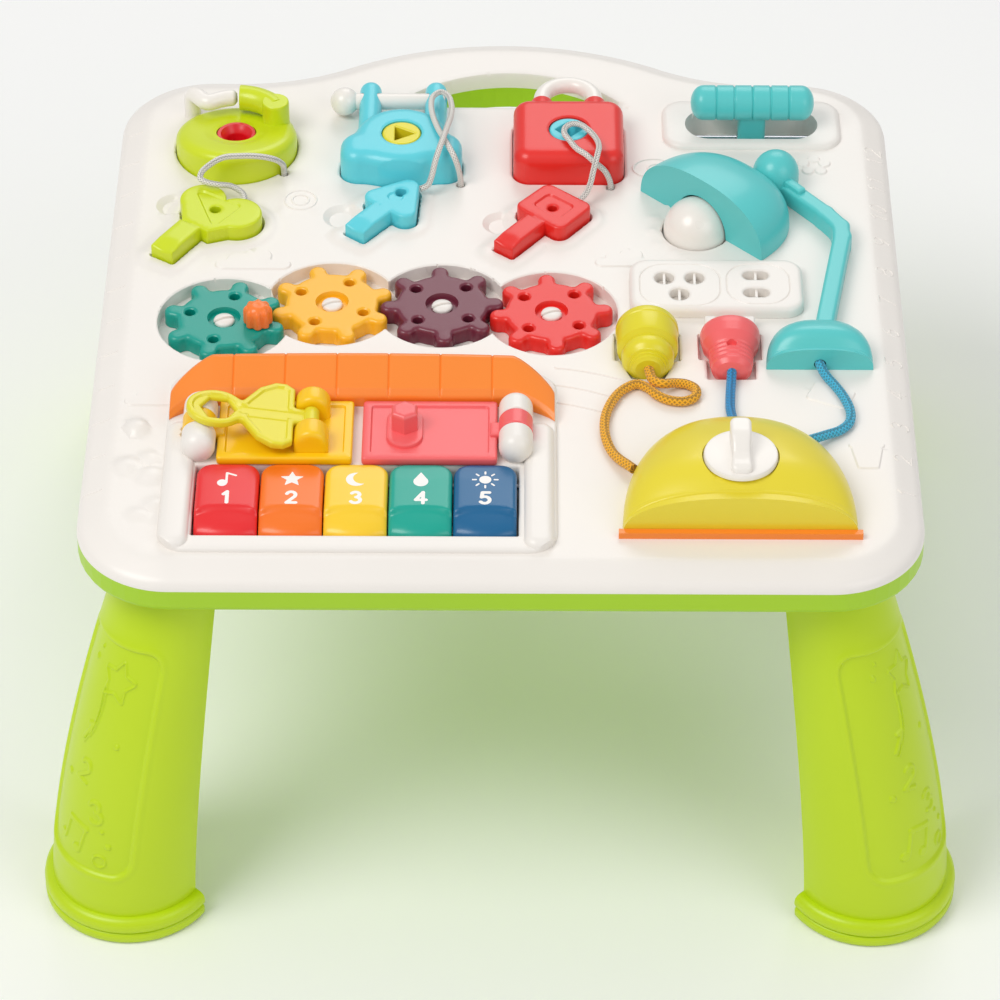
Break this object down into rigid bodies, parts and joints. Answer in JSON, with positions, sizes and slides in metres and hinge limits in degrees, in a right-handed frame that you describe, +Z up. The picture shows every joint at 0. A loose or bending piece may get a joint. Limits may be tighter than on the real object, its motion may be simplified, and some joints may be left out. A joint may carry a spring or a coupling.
{
  "type": "musical activity table",
  "caption": "Low play table for toddlers: white top on a green tray with plug-in legs, gears, toy locks with keys, door panel, keyboard, lamp, plugs, dial and lever.",
  "frame": {"origin": "centre of the footprint on the floor", "axes": "+Y towards the carrying handle, +X to the right seen from the keyboard side, +Z up"},
  "size_m": [0.4738, 0.4889, 0.2698],
  "materials": {
    "white_shell": "white moulded plastic, satin",
    "green_tray": "grass green plastic",
    "lime_leg": "lime green plastic",
    "lime": "lime plastic",
    "yellow": "yellow plastic",
    "lemon": "lemon plastic",
    "orange": "orange plastic",
    "red": "red plastic",
    "pink": "coral pink plastic",
    "cyan": "light blue plastic",
    "teal": "teal plastic",
    "plum": "plum plastic",
    "blue": "blue plastic",
    "key_orange": "deep orange plastic",
    "steel": "bright steel wire and screws",
    "cord_white": "braided white cord",
    "cord_yellow": "braided yellow cord",
    "cord_blue": "braided blue cord",
    "rubber_grey": "carbon rubber contact strip",
    "board": "circuit board",
    "battery": "battery jacket"
  },
  "bodies": {
    "table": {"top_panel": "white_shell", "base_tray": "green_tray", "front_left_leg": "lime_leg", "front_right_leg": "lime_leg", "back_left_leg": "lime_leg", "back_right_leg": "lime_leg", "foot_caps": "lime_leg", "panel_screws": "steel", "awning": "orange", "piano_key_rod": "steel", "key_contact_strip": "rubber_grey", "door_hinge_pins": "steel", "gear_posts": "white_shell", "lime_lock_catch": "white_shell", "cyan_lock": "cyan", "red_lock": "red", "lamp_shade": "cyan", "lamp_arm": "cyan", "lamp_base": "cyan", "lamp_cord": "cord_blue", "timer_housing": "lemon", "timer_strip": "orange", "circuit_board": "board", "speaker": "steel", "battery_door": "green_tray", "batteries": "battery", "lever_pin": "steel"},
    "piano_1": {"piano_key_1": "red"},
    "piano_2": {"piano_key_2": "key_orange"},
    "piano_3": {"piano_key_3": "yellow"},
    "piano_4": {"piano_key_4": "teal"},
    "piano_5": {"piano_key_5": "blue"},
    "left_leaf": {"yellow_door": "yellow", "hasp_pin": "steel"},
    "right_leaf": {"pink_door": "pink"},
    "hasp_leaf": {"hasp": "lemon"},
    "gear_a": {"teal_gear": "teal"},
    "gear_b": {"yellow_gear": "yellow"},
    "gear_c": {"plum_gear": "plum"},
    "gear_d": {"red_gear": "red"},
    "crank": {"crank_knob": "orange"},
    "round_lock": {"lime_lock": "lime"},
    "round_barrel": {"lime_lock_barrel": "red"},
    "bolt_barrel": {"cyan_lock_barrel": "lime"},
    "bolt": {"cyan_lock_bolt": "white_shell"},
    "shackle_barrel": {"red_lock_barrel": "cyan"},
    "shackle": {"red_lock_shackle": "white_shell"},
    "key_heart": {"heart_key": "lime", "heart_key_cord": "cord_white"},
    "key_triangle": {"triangle_key": "cyan", "triangle_key_cord": "cord_white"},
    "key_square": {"square_key": "red", "square_key_cord": "cord_white"},
    "plug_yellow": {"yellow_plug": "lemon", "yellow_plug_cord": "cord_yellow"},
    "plug_pink": {"pink_plug": "pink", "pink_plug_cord": "cord_blue"},
    "bulb": {"bulb_button": "white_shell"},
    "dial": {"timer_dial": "white_shell"},
    "lever_arm": {"lever": "cyan"}
  },
  "joints": [
    {"name": "piano_1_press", "type": "hinge", "parent": "table", "child": "piano_1", "pos_m": [-0.1357, -0.1405, 0.222], "axis": [1, 0, 0], "range_deg": [0, 4.5], "stiffness_Nm_per_rad": 0.8, "springref_deg": -1.72},
    {"name": "piano_2_press", "type": "hinge", "parent": "table", "child": "piano_2", "pos_m": [-0.1037, -0.1405, 0.222], "axis": [1, 0, 0], "range_deg": [0, 4.5], "stiffness_Nm_per_rad": 0.8, "springref_deg": -1.72},
    {"name": "piano_3_press", "type": "hinge", "parent": "table", "child": "piano_3", "pos_m": [-0.0717, -0.1405, 0.222], "axis": [1, 0, 0], "range_deg": [0, 4.5], "stiffness_Nm_per_rad": 0.8, "springref_deg": -1.72},
    {"name": "piano_4_press", "type": "hinge", "parent": "table", "child": "piano_4", "pos_m": [-0.0397, -0.1405, 0.222], "axis": [1, 0, 0], "range_deg": [0, 4.5], "stiffness_Nm_per_rad": 0.8, "springref_deg": -1.72},
    {"name": "piano_5_press", "type": "hinge", "parent": "table", "child": "piano_5", "pos_m": [-0.0077, -0.1405, 0.222], "axis": [1, 0, 0], "range_deg": [0, 4.5], "stiffness_Nm_per_rad": 0.8, "springref_deg": -1.72},
    {"name": "left_leaf_hinge", "type": "hinge", "parent": "table", "child": "left_leaf", "pos_m": [-0.1516, -0.1138, 0.2382], "axis": [0, -1, 0], "range_deg": [0, 70]},
    {"name": "right_leaf_hinge", "type": "hinge", "parent": "table", "child": "right_leaf", "pos_m": [0.0074, -0.1138, 0.2382], "axis": [0, 1, 0], "range_deg": [0, 100]},
    {"name": "hasp_hinge", "type": "hinge", "parent": "left_leaf", "child": "hasp_leaf", "pos_m": [-0.0955, -0.1115, 0.241], "axis": [0, 1, 0], "range_deg": [0, 166]},
    {"name": "gear_a_spin", "type": "hinge", "parent": "table", "child": "gear_a", "pos_m": [-0.14484, -0.01492, 0.225], "axis": [0, 0, 1], "continuous": true},
    {"name": "gear_b_spin", "type": "hinge", "parent": "table", "child": "gear_b", "pos_m": [-0.089, -0.0012, 0.225], "axis": [0, 0, 1], "continuous": true},
    {"name": "gear_c_spin", "type": "hinge", "parent": "table", "child": "gear_c", "pos_m": [-0.03151, -0.0024, 0.225], "axis": [0, 0, 1], "continuous": true},
    {"name": "gear_d_spin", "type": "hinge", "parent": "table", "child": "gear_d", "pos_m": [0.02567, -0.00841, 0.225], "axis": [0, 0, 1], "continuous": true},
    {"name": "crank_spin", "type": "hinge", "parent": "gear_a", "child": "crank", "pos_m": [-0.12683, -0.01957, 0.236], "axis": [0, 0, 1], "continuous": true},
    {"name": "round_lock_turn", "type": "hinge", "parent": "table", "child": "round_lock", "pos_m": [-0.1457, 0.137, 0.229], "axis": [0, 0, 1], "range_deg": [0, 30]},
    {"name": "round_barrel_turn", "type": "hinge", "parent": "round_lock", "child": "round_barrel", "pos_m": [-0.1457, 0.137, 0.229], "axis": [0, 0, 1], "range_deg": [0, 90]},
    {"name": "bolt_barrel_turn", "type": "hinge", "parent": "table", "child": "bolt_barrel", "pos_m": [-0.0553, 0.127, 0.229], "axis": [0, 0, 1], "range_deg": [0, 90]},
    {"name": "bolt_slide", "type": "slide", "parent": "table", "child": "bolt", "axis": [-1, 0, 0], "range_m": [0, 0.014]},
    {"name": "shackle_barrel_turn", "type": "hinge", "parent": "table", "child": "shackle_barrel", "pos_m": [0.0354, 0.131, 0.229], "axis": [0, 0, 1], "range_deg": [0, 90]},
    {"name": "shackle_slide", "type": "slide", "parent": "table", "child": "shackle", "axis": [0, 1, 0], "range_m": [0, 0.008]},
    {"name": "key_heart_lift", "type": "slide", "parent": "table", "child": "key_heart", "axis": [0, 0, 1], "range_m": [0, 0.03]},
    {"name": "key_triangle_lift", "type": "slide", "parent": "table", "child": "key_triangle", "axis": [0, 0, 1], "range_m": [0, 0.03]},
    {"name": "key_square_lift", "type": "slide", "parent": "table", "child": "key_square", "axis": [0, 0, 1], "range_m": [0, 0.03]},
    {"name": "plug_yellow_lift", "type": "slide", "parent": "table", "child": "plug_yellow", "axis": [0, 0, 1], "range_m": [0, 0.03]},
    {"name": "plug_pink_lift", "type": "slide", "parent": "table", "child": "plug_pink", "axis": [0, 0, 1], "range_m": [0, 0.03]},
    {"name": "bulb_press", "type": "slide", "parent": "table", "child": "bulb", "axis": [0, 0, -1], "range_m": [0, 0.003], "stiffness_N_per_m": 400, "springref_m": -0.003},
    {"name": "dial_turn", "type": "hinge", "parent": "table", "child": "dial", "pos_m": [0.1181, -0.1585, 0.257], "axis": [0, 0, 1], "range_deg": [-135, 135]},
    {"name": "lever_rock", "type": "hinge", "parent": "table", "child": "lever_arm", "pos_m": [0.136, 0.1555, 0.222], "axis": [1, 0, 0], "range_deg": [-20, 20]}
  ],
  "couplings": [
    {"joint": "gear_b_spin", "follows": "gear_a_spin", "ratio": -1},
    {"joint": "gear_c_spin", "follows": "gear_a_spin", "ratio": 1},
    {"joint": "gear_d_spin", "follows": "gear_a_spin", "ratio": -1}
  ]
}
